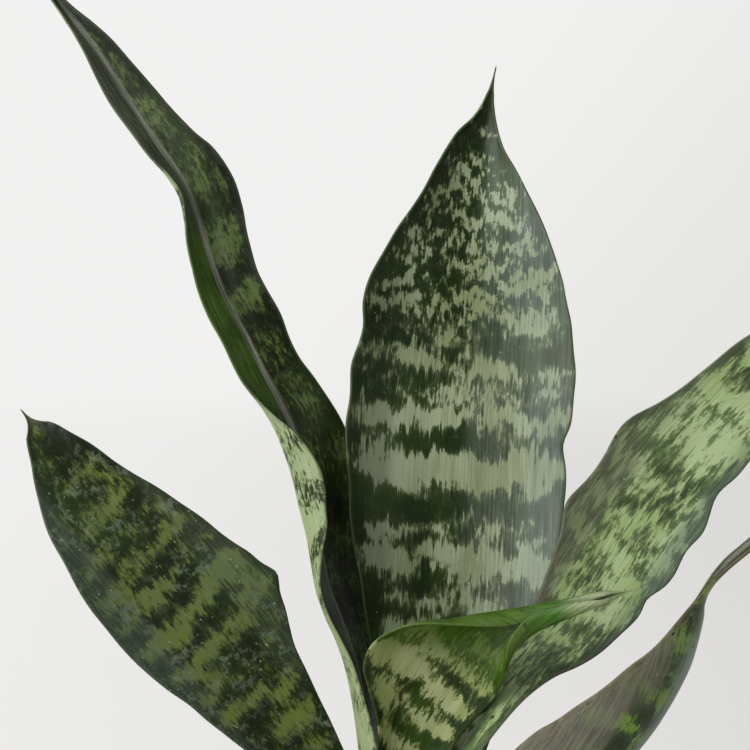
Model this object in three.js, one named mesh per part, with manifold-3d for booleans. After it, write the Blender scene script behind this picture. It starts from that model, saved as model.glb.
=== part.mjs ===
// A potted snake plant: a rosette of six mottled leaves and three short scale leaves on a rhizome,
// planted in potting mix in a plain terracotta pot. Millimetres, +Z up. The origin is the middle of
// the pot's flat underside, and the plant is looked at from -Y.
import * as THREE from "three";
import { mergeVertices } from "three/addons/utils/BufferGeometryUtils.js";
import Module from "manifold-3d";

const wasm = await Module();
wasm.setup();

// ---- driving dimensions ----------------------------------------------------------------------
const POT_HEIGHT = 120;
const RIM_RADIUS = 72; // outside of the rim band, at the top
const RIM_BAND = 27; // height of the thicker band under the rim
const RIM_STEP = 3.5; // how far the band stands out of the wall below it
const BAND_TAPER = 1.5; // how much wider the band is at the top than at its lower edge
const FOOT_RADIUS = 47;
const WALL = 6;
const FLOOR = 9;
const CORNER = 3; // bevel inside the pot, between the wall and the floor
const EDGE = 1.6; // rounding of the pot's edges
const DRAIN_HOLES = 3;
const DRAIN_RADIUS = 6;
const DRAIN_CIRCLE = 26; // distance from the axis to each drain hole

const GAP = 0.3; // clearance between pieces that touch
const SOCKET_GAP = 0.4; // clearance round what is buried in the soil
const SOIL_EDGE = 103; // height of the soil where it meets the pot
const SOIL_MOUND = 3; // how much higher the soil is round the plant
const LEAF_FOOT = 84; // height of the leaves' buried lower ends
const CROWN_RADIUS = 27;
const CROWN_DEPTH = 24;
const ROOTS = 7;
const ROOT_RADIUS = 2.2;
const ROOT_REACH = 33; // how far the roots go out from the axis, on average
const ROOT_DROP = 24; // how far they go down, on average

const POT_SEGMENTS = 60;
const CROWN_SEGMENTS = 20;
const HOLE_SEGMENTS = 20;
const ROOT_SIDES = 6;
const ROOT_STEPS = 6;
const RING_SPACING = 8.5; // along a blade
const HALF_PLACES = [0, 0.28, 0.56, 0.82, 1]; // across half a blade, midrib to margin
const ARC_STEPS = 12; // straight steps that follow the bend of half a blade
const FOLD_ZONE = 0.3; // share of the half width in which the fold at the midrib is made
const MARGIN_THICKNESS = 0.9;

// ---- leaves ----------------------------------------------------------------------------------
// A leaf is a band swept along its midrib, from the buried foot to the tip. Each station is
// [x, y, z, left, right, turn, lift, curlLeft, curlRight, fold, thick]: a point of the midrib, the half
// widths on either side along the surface, the compass turn (0 is -Y, 90 is +X) and the lift of the
// direction that the upper face looks in, how far each half bends towards that face between midrib
// and margin, the sharper fold at the midrib, and the thickness there. Angles are in degrees.
const LEAVES = {
  leaf_centre: [
    [1, 8, 84, 9, 9, 0, 0, 50, 50, 0, 6],
    [1, 8, 104, 11, 11, 0, 0, 50, 50, 0, 6],
    [5, 9, 135, 14, 15, 0, 0, 45, 45, 0, 5],
    [9, 11, 166, 21, 22, 0, 0, 40, 40, 0, 4],
    [13, 15, 193, 29, 30, 0, 0, 36, 36, 0, 3.4],
    [15, 20, 222, 37, 37, 0, 5, 34, 34, 0, 3],
    [16, 25, 247, 40, 39, 0, 8, 32, 32, 0, 3],
    [17, 28, 268, 40, 40, 0, 8, 32, 32, 0, 3],
    [19, 31, 290, 37, 39, 0, 8, 32, 32, 0, 3],
    [20, 33, 306, 38, 37, 0, 6, 34, 34, 0, 3],
    [21, 35, 323, 32, 31, 0, 3, 38, 38, 0, 2.8],
    [22, 37, 340, 22, 23, 0, 0, 42, 42, 0, 2.6],
    [24, 38, 360, 12, 11, 0, 0, 55, 55, 0, 2.2],
    [27, 38, 371, 5.5, 3.5, 0, 0, 90, 60, 0, 1.8],
    [28, 37, 377, 1.4, 1.2, 0, 0, 60, 40, 0, 1.4],
    [30, 36, 387, 0.5, 0.5, 0, 0, 20, 20, 0, 0.8],
  ],
  leaf_low_left: [
    [-15, 13, 84, 8, 8, 40, 0, 40, 40, 0, 6],
    [-15, 13, 104, 9, 9, 40, 0, 40, 40, 0, 6],
    [-20, 14, 120, 9, 10, 38, 5, 38, 38, 0, 5],
    [-31, 15, 137, 12, 13, 34, 10, 32, 32, 0, 4.4],
    [-43, 16, 154, 14, 17, 30, 14, 26, 28, 0, 3.8],
    [-58, 19, 172, 19, 23, 26, 16, 20, 26, 0, 3.2],
    [-72, 22, 190, 24, 31, 24, 16, 16, 22, 0, 3],
    [-86, 25, 206, 26, 28, 22, 16, 14, 18, 0, 3],
    [-100, 28, 223, 24, 22, 20, 14, 14, 16, 0, 2.8],
    [-113, 31, 238, 18, 15, 18, 12, 16, 16, 0, 2.6],
    [-124, 33, 252, 10, 8, 18, 10, 20, 20, 0, 2.2],
    [-132, 35, 261, 3, 2.5, 18, 10, 30, 30, 0, 1.6],
    [-137, 36, 267, 0.5, 0.5, 18, 10, 20, 20, 0, 0.8],
  ],
  leaf_tall_left: [
    [-14, -3, 84, 8, 8, 75, 0, 50, 30, 0, 5],
    [-14, -3, 104, 12, 8, 75, 0, 55, 30, 0, 5],
    [-14, -2, 129, 16, 9, 75, 0, 60, 30, 0, 4.4],
    [-15, -1, 155, 20, 12, 75, 0, 60, 30, 0, 3.8],
    [-19, 1, 183, 19, 16, 70, 0, 34, 24, 6, 3.2],
    [-24, 4, 198, 18, 17, 66, 0, 20, 18, 8, 3],
    [-29, 7, 211, 18, 18, 62, 0, 30, 14, 8, 3],
    [-33, 14, 232, 22, 20, 50, 0, 96, 12, 8, 3],
    [-37, 17, 252, 23, 20, 42, 2, 110, 12, 8, 3],
    [-43, 20, 268, 15, 16, 36, 4, 60, 12, 10, 3],
    [-51, 22, 283, 12, 13, 32, 4, 14, 12, 18, 3],
    [-58, 24, 297, 12, 14, 30, 4, 6, 12, 22, 3],
    [-65, 26, 310, 12, 14, 28, 4, 8, 12, 24, 3],
    [-71, 28, 327, 11, 15, 26, 4, 30, 10, 24, 2.8],
    [-77, 30, 345, 9, 16, 24, 4, 70, 8, 24, 2.8],
    [-87, 32, 360, 8, 12, 22, 4, 30, 8, 24, 2.6],
    [-99, 34, 378, 7, 9, 18, 4, 8, 8, 24, 2.4],
    [-109, 35, 394, 6, 6, 14, 4, 30, 8, 26, 2.2],
    [-121, 36, 409, 3, 2, 10, 4, 50, 8, 26, 1.6],
    [-129, 36, 420, 0.5, 0.5, 10, 4, 10, 10, 10, 0.8],
  ],
  leaf_right: [
    [12, -22, 84, 6, 6, -150, 0, 40, 40, 0, 5],
    [12, -22, 104, 6, 6, -140, 0, 40, 40, 0, 5],
    [12, -25, 131, 6, 6, -115, 10, 40, 40, 0, 4.6],
    [11, -28, 149, 6, 6, -90, 30, 40, 40, 0, 4],
    [18, -28, 161, 5, 5, -70, 42, 30, 20, 0, 3.2],
    [26, -24, 171, 5, 4, -52, 40, 30, 16, 0, 3],
    [40, -12, 186, 12, 8, -30, 28, 30, 16, 0, 3],
    [54, -5, 199, 15, 14, -20, 20, 30, 14, 0, 3],
    [67, 4, 215, 20, 18, -18, 18, 30, 14, 0, 3],
    [79, 12, 231, 24, 18, -16, 16, 30, 14, 0, 3],
    [94, 20, 248, 23, 17, -16, 16, 26, 14, 0, 3],
    [112, 28, 266, 18, 15, -16, 18, 20, 14, 0, 3],
    [134, 34, 285, 15, 14, -14, 20, 16, 16, 0, 2.8],
    [160, 40, 302, 9, 9, -12, 20, 20, 20, 0, 2.4],
    [178, 43, 311, 3, 3, -12, 20, 30, 30, 0, 1.8],
    [186, 44, 315, 0.5, 0.5, -12, 20, 20, 20, 0, 0.8],
  ],
  leaf_low_right: [
    [17, -3, 84, 8, 8, -90, 0, 40, 40, 0, 6],
    [17, -3, 104, 9, 9, -90, 0, 40, 40, 0, 6],
    [26, -8, 118, 15, 18, -100, 20, 45, 45, 10, 5],
    [44, -13, 134, 27, 32, -120, 40, 48, 42, 14, 4.4],
    [58, -18, 147, 31, 36, -130, 44, 44, 38, 16, 3.8],
    [69.5, -22, 160, 31, 32, -135, 44, 36, 32, 18, 3.4],
    [78, -27, 174, 29, 26, -135, 44, 32, 30, 18, 3.2],
    [84.5, -31, 189, 24, 19, -135, 44, 26, 28, 18, 3],
    [87.5, -35, 201, 14, 12, -130, 44, 20, 20, 14, 3],
    [89, -38.5, 211, 9, 6, -124, 44, 12, 14, 8, 2.8],
    [92, -41, 219.5, 4, 3.6, -100, 44, 8, 12, 4, 2.6],
    [97.5, -43, 227, 3.4, 3.4, -80, 44, 8, 10, 4, 2.4],
    [105.5, -46, 235, 3.2, 3.2, -74, 44, 8, 10, 4, 2.4],
    [116.5, -50, 245.5, 3.2, 3.2, -70, 44, 8, 10, 4, 2.2],
    [129.5, -53, 257, 2.6, 2.6, -70, 44, 10, 14, 4, 1.8],
    [139, -54.5, 267, 0.5, 0.5, -70, 44, 14, 14, 0, 0.8],
  ],
  leaf_young: [
    [0, -8, 84, 7, 7, 0, 0, 50, 50, 0, 5],
    [0, -8, 104, 8, 8, 0, 0, 50, 50, 0, 5],
    [-1, -8, 129, 9, 10, 0, 0, 50, 50, 0, 4.4],
    [1, -9, 151, 13, 11, 0, 0, 50, 50, 0, 3.8],
    [7, -12.5, 167, 22, 9.5, 0, 0, 50, 44, 0, 3.2],
    [14, -17, 180, 35, 11, 0, 0, 46, 44, 0, 2.8],
    [21, -22, 193, 33, 13, 0, 0, 48, 60, 0, 2.6],
    [29.5, -27.5, 203.5, 19, 13.5, 0, 0, 100, 120, 0, 2.4],
    [38.5, -33, 209.4, 10, 14, 0, 0, 180, 200, 0, 2.2],
    [48, -38, 213.2, 6.8, 10.5, 0, 0, 185, 215, 0, 1.8],
    [58, -44.5, 217.6, 4.4, 6.3, 0, 0, 160, 190, 0, 1.4],
    [63.5, -47.5, 219.3, 2.3, 2.5, 0, 0, 110, 115, 0, 1.1],
    [68, -50, 220.8, 0.6, 0.6, 0, 0, 40, 40, 0, 0.8],
  ],
};

const leafMaterial = new THREE.MeshStandardMaterial({ color: 0x4c6a40, roughness: 0.45, metalness: 0 });

// A closed blade through the stations, made larger all round by grow.
function bladeGeometry(stations, grow = 0) {
  const midrib = new THREE.CatmullRomCurve3(stations.map((s) => new THREE.Vector3(...s.slice(0, 3))));
  const rings = Math.round(midrib.getLength() / RING_SPACING);
  const pair = (i) => new THREE.SplineCurve(stations.map((s) => new THREE.Vector2(s[i], s[i + 1])));
  const widths = pair(3);
  const facings = pair(5);
  const curls = pair(7);
  const bodies = pair(9);
  const positions = [];
  for (let k = 0; k <= rings; k++) {
    const t = midrib.getUtoTmapping(k / rings);
    const width = widths.getPoint(t);
    const facing = facings.getPoint(t).multiplyScalar(THREE.MathUtils.DEG2RAD);
    const curl = curls.getPoint(t);
    const [fold, thick] = bodies.getPoint(t).toArray();
    const along = midrib.getTangent(t);
    const face = new THREE.Vector3(
      Math.sin(facing.x) * Math.cos(facing.y),
      -Math.cos(facing.x) * Math.cos(facing.y),
      Math.sin(facing.y),
    ).projectOnPlane(along).normalize();
    const right = along.clone().cross(face);
    const centre = midrib.getPoint(t);
    const section = { centre, face, right, fold, thick: Math.min(thick, width.x + width.y) };
    const leftHalf = halfSection(section, -1, width.x, curl.x, grow);
    const rightHalf = halfSection(section, 1, width.y, curl.y, grow);
    const upper = [...leftHalf.map((p) => p.upper).reverse(), ...rightHalf.slice(1).map((p) => p.upper)];
    const lower = [...leftHalf.map((p) => p.lower).reverse(), ...rightHalf.slice(1).map((p) => p.lower)];
    const ring = [...upper, ...lower.reverse()];
    if (k === 0) ring.forEach((p) => (p.z = stations[0][2]));
    ring.forEach((p) => positions.push(p.x, p.y, p.z));
  }
  const size = 2 * (2 * HALF_PLACES.length - 1);
  const geometry = new THREE.BufferGeometry();
  geometry.setAttribute("position", new THREE.Float32BufferAttribute(positions, 3));
  geometry.setIndex(sweptFaces(rings, size));
  return geometry;
}

// The points of the upper and lower face across half a blade, from the midrib out. side is -1 or 1.
function halfSection({ centre, face, right, fold, thick }, side, width, curl, grow) {
  const out = right.clone().multiplyScalar(side);
  const bend = (share) =>
    THREE.MathUtils.degToRad(fold * THREE.MathUtils.smoothstep(share, 0, FOLD_ZONE) + curl * share);
  const half = width + grow;
  return HALF_PLACES.map((place) => {
    const point = centre.clone();
    for (let i = 0; i < ARC_STEPS; i++) {
      const angle = bend(((i + 0.5) / ARC_STEPS) * place);
      const step = (half * place) / ARC_STEPS;
      point.addScaledVector(out, step * Math.cos(angle)).addScaledVector(face, step * Math.sin(angle));
    }
    const angle = bend(place);
    const normal = face.clone().multiplyScalar(Math.cos(angle)).addScaledVector(out, -Math.sin(angle));
    const rim = Math.min(MARGIN_THICKNESS, thick);
    const depth = rim + (thick - rim) * (1 - place * place) + 2 * grow;
    return {
      upper: point.clone().addScaledVector(normal, depth / 2),
      lower: point.clone().addScaledVector(normal, -depth / 2),
    };
  });
}

// The triangles of a tube of rings with flat ends. Each ring goes along one face and back along the other.
function sweptFaces(rings, size) {
  const faces = [];
  for (let k = 0; k < rings; k++)
    for (let i = 0; i < size; i++) {
      const a = k * size + i;
      const b = k * size + ((i + 1) % size);
      faces.push(a, b, b + size, a, b + size, a + size);
    }
  for (let i = 0; i < size / 2 - 1; i++) {
    const j = size - 1 - i;
    const top = rings * size;
    faces.push(i, j - 1, i + 1, i, j, j - 1);
    faces.push(top + i, top + i + 1, top + j - 1, top + i, top + j - 1, top + j);
  }
  return faces;
}

// A closed geometry as a manifold-3d solid, and back.
function solid(geometry) {
  const bare = geometry.clone();
  bare.deleteAttribute("normal");
  bare.deleteAttribute("uv");
  const merged = mergeVertices(bare, 1e-4);
  return new wasm.Manifold(
    new wasm.Mesh({
      numProp: 3,
      vertProperties: merged.attributes.position.array,
      triVerts: new Uint32Array(merged.index.array),
    }),
  );
}

function geometryOf(body) {
  const mesh = body.getMesh();
  return new THREE.BufferGeometry()
    .setAttribute("position", new THREE.BufferAttribute(mesh.vertProperties, 3))
    .setIndex(new THREE.BufferAttribute(mesh.triVerts, 1));
}

// A solid of revolution about Z from a profile of [radius, height] pairs.
function turned(profile, segments) {
  const points = profile.map(([radius, height]) => new THREE.Vector2(radius, height));
  return new THREE.LatheGeometry(points, segments).rotateX(Math.PI / 2);
}

// ---- pot -------------------------------------------------------------------------------------
const WALL_TOP = POT_HEIGHT - RIM_BAND;
const WALL_RADIUS = RIM_RADIUS - RIM_STEP - 1; // outside of the wall where the band starts
const MOUTH_RADIUS = RIM_RADIUS - WALL - RIM_STEP; // inside, at the top
const INNER_FOOT = FOOT_RADIUS - WALL;

function pot() {
  const shell = solid(
    turned(
      [
        [0, 0],
        [FOOT_RADIUS - EDGE, 0],
        [FOOT_RADIUS, EDGE],
        [WALL_RADIUS, WALL_TOP],
        [RIM_RADIUS - BAND_TAPER - EDGE / 2, WALL_TOP + EDGE / 4],
        [RIM_RADIUS - BAND_TAPER, WALL_TOP + EDGE],
        [RIM_RADIUS, POT_HEIGHT - EDGE],
        [RIM_RADIUS - EDGE, POT_HEIGHT],
        [MOUTH_RADIUS + EDGE, POT_HEIGHT],
        [MOUTH_RADIUS, POT_HEIGHT - EDGE],
        [INNER_FOOT + CORNER, FLOOR + CORNER],
        [INNER_FOOT, FLOOR],
        [0, FLOOR],
      ],
      POT_SEGMENTS,
    ),
  );
  let drained = shell;
  for (let i = 0; i < DRAIN_HOLES; i++) {
    const angle = (2 * Math.PI * i) / DRAIN_HOLES + Math.PI / 2;
    const drill = new THREE.CylinderGeometry(DRAIN_RADIUS, DRAIN_RADIUS, 4 * FLOOR, HOLE_SEGMENTS)
      .rotateX(Math.PI / 2)
      .translate(DRAIN_CIRCLE * Math.cos(angle), DRAIN_CIRCLE * Math.sin(angle), 0);
    drained = drained.subtract(solid(drill));
  }
  return geometryOf(drained);
}

// Inside radius of the pot's wall at a height.
function innerRadius(height) {
  const share = (height - FLOOR - CORNER) / (POT_HEIGHT - EDGE - FLOOR - CORNER);
  return THREE.MathUtils.lerp(INNER_FOOT + CORNER, MOUTH_RADIUS, share);
}

// ---- rhizome and roots -----------------------------------------------------------------------
function crown(grow = 0) {
  const top = LEAF_FOOT - GAP + grow;
  const low = top - CROWN_DEPTH - 2 * grow;
  return solid(
    turned(
      [
        [0, low],
        [CROWN_RADIUS * 0.45 + grow, low],
        [CROWN_RADIUS * 0.8 + grow, low + CROWN_DEPTH * 0.3],
        [CROWN_RADIUS + grow, low + CROWN_DEPTH * 0.7],
        [CROWN_RADIUS - 1.5 + grow, top],
        [0, top],
      ],
      CROWN_SEGMENTS,
    ),
  );
}

const ORIGIN = new THREE.Vector2();

// A root that leaves the crown's side and droops towards the pot's floor.
function root(i, grow = 0) {
  const turn = (2 * Math.PI * i) / ROOTS + 0.3;
  const reach = ROOT_REACH + 5 * Math.sin(2.3 * i);
  const depth = ROOT_DROP + 6 * Math.cos(1.7 * i);
  const place = (radius, height) =>
    new THREE.Vector3(radius * Math.cos(turn), radius * Math.sin(turn), height);
  const start = LEAF_FOOT - CROWN_DEPTH * 0.55;
  const line = new THREE.CatmullRomCurve3([
    place(CROWN_RADIUS * 0.5, start),
    place(CROWN_RADIUS * 1.1, start - 4),
    place(reach, start - depth * 0.5),
    place(reach - 2, start - depth),
  ]);
  const radius = ROOT_RADIUS + grow;
  const corner = (_, j) => new THREE.Vector2(radius, 0).rotateAround(ORIGIN, (2 * Math.PI * j) / ROOT_SIDES);
  const ring = new THREE.Shape(Array.from({ length: ROOT_SIDES }, corner));
  return solid(new THREE.ExtrudeGeometry(ring, { steps: ROOT_STEPS, extrudePath: line }));
}

function rhizome(grow = 0) {
  let body = crown(grow);
  for (let i = 0; i < ROOTS; i++) body = body.add(root(i, grow));
  return body;
}

// ---- scale leaves ----------------------------------------------------------------------------
// Short pointed sheaths at the foot of the rosette, in the same station form as the leaves.
function scaleLeaf(turn, distance, height, width) {
  const angle = THREE.MathUtils.degToRad(turn);
  const at = (radius, z) => [-radius * Math.sin(angle), radius * Math.cos(angle) - 2, z];
  return [
    [...at(distance, LEAF_FOOT), width, width, turn, 0, 48, 48, 0, 2.2],
    [...at(distance, SOIL_EDGE), width * 1.1, width * 1.1, turn, 0, 48, 48, 0, 2],
    [...at(distance + 1, SOIL_EDGE + height * 0.45), width, width, turn, 0, 50, 50, 0, 1.6],
    [...at(distance + 3, SOIL_EDGE + height * 0.8), width * 0.45, width * 0.45, turn, 0, 50, 50, 0, 1.3],
    [...at(distance + 5, SOIL_EDGE + height), 0.5, 0.5, turn, 0, 20, 20, 0, 0.8],
  ];
}

const SCALES = {
  scale_leaf_back: scaleLeaf(-25, 21, 34, 12),
  scale_leaf_left: scaleLeaf(108, 25, 27, 9),
  scale_leaf_front: scaleLeaf(165, 26, 24, 8),
};

// ---- soil ------------------------------------------------------------------------------------
function soil() {
  const low = FLOOR + GAP;
  const top = SOIL_EDGE + SOIL_MOUND;
  let body = solid(
    turned(
      [
        [0, low],
        [INNER_FOOT - GAP, low],
        [INNER_FOOT + CORNER - GAP, FLOOR + CORNER],
        [innerRadius(SOIL_EDGE) - GAP, SOIL_EDGE],
        [innerRadius(SOIL_EDGE) - 8, SOIL_EDGE + 0.6],
        [CROWN_RADIUS + 12, top - 0.8],
        [CROWN_RADIUS, top],
        [0, top],
      ],
      POT_SEGMENTS,
    ),
  ).subtract(rhizome(SOCKET_GAP));
  for (const stations of Object.values({ ...LEAVES, ...SCALES })) {
    body = body.subtract(solid(bladeGeometry(stations, SOCKET_GAP)));
  }
  return geometryOf(body);
}

// ---- assembly --------------------------------------------------------------------------------
function piece(name, geometry, material) {
  const mesh = new THREE.Mesh(geometry, material);
  mesh.name = name;
  return mesh;
}

const plant = new THREE.Group();
plant.name = "potted_snake_plant";
plant.add(
  piece("pot", pot(), new THREE.MeshStandardMaterial({ color: 0xb5714f, roughness: 0.85, metalness: 0 })),
  piece("soil", soil(), new THREE.MeshStandardMaterial({ color: 0x3a2a20, roughness: 1, metalness: 0 })),
  piece(
    "rhizome",
    geometryOf(rhizome()),
    new THREE.MeshStandardMaterial({ color: 0xc98a4e, roughness: 0.7, metalness: 0 }),
  ),
);
for (const [name, stations] of Object.entries(LEAVES)) {
  plant.add(piece(name, bladeGeometry(stations), leafMaterial));
}
for (const [name, stations] of Object.entries(SCALES)) {
  plant.add(
    piece(
      name,
      bladeGeometry(stations),
      new THREE.MeshStandardMaterial({ color: 0x9a8f62, roughness: 0.7, metalness: 0 }),
    ),
  );
}

export default plant;
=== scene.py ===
import math
import random
from types import SimpleNamespace

import bmesh
import bpy
import numpy as np
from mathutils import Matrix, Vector, noise
from mathutils.bvhtree import BVHTree


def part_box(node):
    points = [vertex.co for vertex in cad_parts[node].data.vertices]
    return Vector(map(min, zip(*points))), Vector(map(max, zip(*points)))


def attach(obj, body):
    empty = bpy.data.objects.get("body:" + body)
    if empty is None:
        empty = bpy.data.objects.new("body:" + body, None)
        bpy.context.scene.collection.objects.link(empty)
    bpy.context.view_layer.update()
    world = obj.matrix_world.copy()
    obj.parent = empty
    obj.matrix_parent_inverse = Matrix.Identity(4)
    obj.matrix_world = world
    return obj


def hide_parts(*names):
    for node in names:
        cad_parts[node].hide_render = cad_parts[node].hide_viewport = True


# A potted snake plant: six mottled leaves and three papery scale leaves in potting mix, in a plain
# terracotta pot. Metres, +Z up, seen from -Y. Blades are worked out in millimetres.
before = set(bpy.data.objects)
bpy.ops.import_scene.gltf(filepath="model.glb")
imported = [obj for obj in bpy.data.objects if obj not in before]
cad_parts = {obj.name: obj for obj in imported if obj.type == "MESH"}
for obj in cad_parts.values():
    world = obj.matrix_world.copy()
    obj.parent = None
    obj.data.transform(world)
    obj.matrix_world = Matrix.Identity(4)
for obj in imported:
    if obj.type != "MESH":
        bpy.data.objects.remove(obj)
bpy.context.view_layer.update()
MM = 0.001


def linked(name, data):
    """A new object, in the scene."""
    made = bpy.data.objects.new(name, data)
    bpy.context.collection.objects.link(made)
    return made


def finished(shape, name):
    """A bmesh as a mesh."""
    made = bpy.data.meshes.new(name)
    shape.to_mesh(made)
    shape.free()
    return made


# ---- camera ----
VIEW_CENTRE = Vector((-0.012, 0.0, 0.283))
VIEW_DISTANCE = 0.59
VIEW_ELEVATION = math.radians(5)
FOCAL_LENGTH = 85
SENSOR_WIDTH = 36
NEAREST_SEEN = 0.01


def make_camera():
    camera = linked("camera", bpy.data.cameras.new("camera"))
    camera.data.lens = FOCAL_LENGTH
    camera.data.sensor_width = SENSOR_WIDTH
    back = Vector((0, -math.cos(VIEW_ELEVATION), math.sin(VIEW_ELEVATION)))
    camera.location = VIEW_CENTRE + back * VIEW_DISTANCE
    camera.rotation_mode = "QUATERNION"
    camera.rotation_quaternion = (-back).to_track_quat("-Z", "Y")
    camera.data.clip_start = NEAREST_SEEN
    bpy.context.scene.camera = camera


# ---- node trees ----
def srgb(red, green, blue):
    """A colour given as 0-255 display values, as linear RGBA."""
    parts = [c / 255 for c in (red, green, blue)]
    return [c / 12.92 if c <= 0.04045 else ((c + 0.055) / 1.055) ** 2.4 for c in parts] + [1.0]


class Graph:
    """Short calls that build one node tree."""

    def __init__(self, tree):
        self.tree = tree

    def node(self, kind, **settings):
        made = self.tree.nodes.new("ShaderNode" + kind)
        for key, value in settings.items():
            setattr(made, key, value)
        return made

    def feed(self, socket, value):
        if isinstance(value, bpy.types.NodeSocket):
            self.tree.links.new(value, socket)
        else:
            socket.default_value = value

    def coordinates(self, kind="Object"):
        return self.node("TexCoord").outputs[kind]

    def math(self, operation, *values):
        made = self.node("Math", operation=operation)
        for socket, value in zip(made.inputs, values):
            self.feed(socket, value)
        return made.outputs[0]

    def add(self, *values):
        total = values[0]
        for value in values[1:]:
            total = self.math("ADD", total, value)
        return total

    def times(self, *values):
        total = values[0]
        for value in values[1:]:
            total = self.math("MULTIPLY", total, value)
        return total

    def centred(self, value, span):
        """A 0-1 noise value as -span/2 to span/2."""
        return self.math("MULTIPLY_ADD", value, span, -span / 2)

    def step(self, value, low, high, start=0.0, end=1.0):
        """A smooth step from start to end as value goes from low to high."""
        made = self.node("MapRange", interpolation_type="SMOOTHSTEP")
        for socket, number in zip(made.inputs, (value, low, high, start, end)):
            self.feed(socket, number)
        return made.outputs[0]

    def split(self, vector):
        made = self.node("SeparateXYZ")
        self.feed(made.inputs[0], vector)
        return made.outputs

    def join(self, x, y, z):
        made = self.node("CombineXYZ")
        for socket, value in zip(made.inputs, (x, y, z)):
            self.feed(socket, value)
        return made.outputs[0]

    def noise(self, vector, scale=1.0, detail=2.0, roughness=0.5, distortion=0.0):
        made = self.node("TexNoise")
        names = ("Vector", "Scale", "Detail", "Roughness", "Distortion")
        for name, value in zip(names, (vector, scale, detail, roughness, distortion)):
            self.feed(made.inputs[name], value)
        return made.outputs[0]

    def spots(self, vector, scale):
        """Distance to the nearest of a scatter of points, and a colour for each."""
        made = self.node("TexVoronoi")
        self.feed(made.inputs["Vector"], vector)
        self.feed(made.inputs["Scale"], scale)
        return made.outputs["Distance"], made.outputs["Color"]

    def mix(self, factor, a, b):
        made = self.node("MixRGB")
        for socket, value in zip(made.inputs, (factor, a, b)):
            self.feed(socket, value)
        return made.outputs[0]

    def ramp(self, factor, stops):
        """A value that goes through (place, value) stops."""
        made = self.node("ValToRGB")
        elements = made.color_ramp.elements
        for i, (place, value) in enumerate(stops):
            element = elements[i] if i < 2 else elements.new(place)
            element.position = place
            element.color = [value] * 3 + [1.0]
        self.feed(made.inputs[0], factor)
        return made.outputs[0]

    def bump(self, height, distance, strength):
        made = self.node("Bump")
        self.feed(made.inputs["Height"], height)
        self.feed(made.inputs["Distance"], distance)
        self.feed(made.inputs["Strength"], strength)
        return made.outputs[0]


class Surface(Graph):
    """A material with one Principled shader."""

    def __init__(self, name):
        self.material = bpy.data.materials.new(name)
        self.material.use_nodes = True
        super().__init__(self.material.node_tree)
        self.shader = self.tree.nodes["Principled BSDF"]

    def finish(self, **inputs):
        for name, value in inputs.items():
            self.feed(self.shader.inputs[name.replace("_", " ")], value)
        return self.material


# ---- leaf looks ----
# Distances are in millimetres, along the blade from its buried foot and across it from the midrib,
# left negative. A place is pale where its paleness is over UPPER_LEVEL, or under_level on the lower
# face. Each look also has bands, which gives the paleness at distances along the blade.
FAR = 99  # beyond any margin
NOWHERE = (400, 420)  # past any tip
UPPER_LEVEL = 0.5
BASE_LOOK = dict(
    seed=1.0,  # the place in the noise
    dark=srgb(19, 31, 6),  # two tones of the dark areas, and two of the pale ones
    deep=srgb(36, 56, 12),
    pale=srgb(124, 134, 92),
    pale_2=srgb(152, 162, 128),
    under_pale=srgb(158, 172, 124),  # mixed into the pale ones on the lower face
    under_level=0.2,
    teeth=22,  # how far the bands' edges are torn, the bands drift, and they wobble
    drift=22,
    wobble=12,
    tilt=0.0,  # slant of the bands, along per across
    bias=0.0,  # paleness added per millimetre across
    cover=0.0,  # paleness added all over
    clumps=1.5,  # strength of broad patches, fine grain and lengthwise fibres
    grain=1.3,
    fibres=0.5,
    mottled=NOWHERE,  # where the bands break up into rows of blotches
    rows=8.4,  # distance between those rows
    blotch=3.2,  # strength of the blotches
    sparse=0.0,  # paleness taken away among them
    fade=(*NOWHERE, 0.0),  # (start, end, amount), a darkening towards the tip
    rim=3.5,  # how far in the dark margin reaches
    sharp=0.09,  # softness of the pale marks' edges
    middle=0.45,  # strength of a middle tone round them
    haze=0.2,  # how far the pale tone shows through beyond that
    margin=srgb(84, 98, 64),  # the thin line along the margin
    margin_amount=0.5,
    midrib=0.0,  # strength of a pale line on the midrib, a painted highlight along its crease
    tip=srgb(76, 74, 54),
    film=0.1,  # strength of a patchy grey film
    flecks=0.25,  # amount of limescale spots and scratches, and of dead specks
    specks=0.05,
    roughness=0.36,
    washes=(),  # (start, end, low, high, colour, amount), a tinted stretch, along and across: painted sheen, painted shade and painted glow on some leaves, weathering and own colour on others
    under_washes=(),  # the same on the lower face
    scar=(0, 0, 0),  # (start, end, inset), a torn brown line beside the lower face's right margin
    bumps=(),  # (along, side, out, spread), swellings of a margin, or notches where out is negative
    crease=0.0,  # depth of the fold along the midrib
    ripple=1.0,  # strength of the blade's waves
)

ROLL_GREEN_GLOW_AND_PALE_END = (  # the young leaf's roll, its own plain green with painted glow of light through it, and its pale end
    (112, 158, -FAR, FAR, srgb(62, 96, 8), 0.85),
    (146, 156, -FAR, FAR, srgb(52, 104, 2), 0.8),
    (159, 190, -FAR, FAR, srgb(152, 164, 126), 0.85),
)

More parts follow.
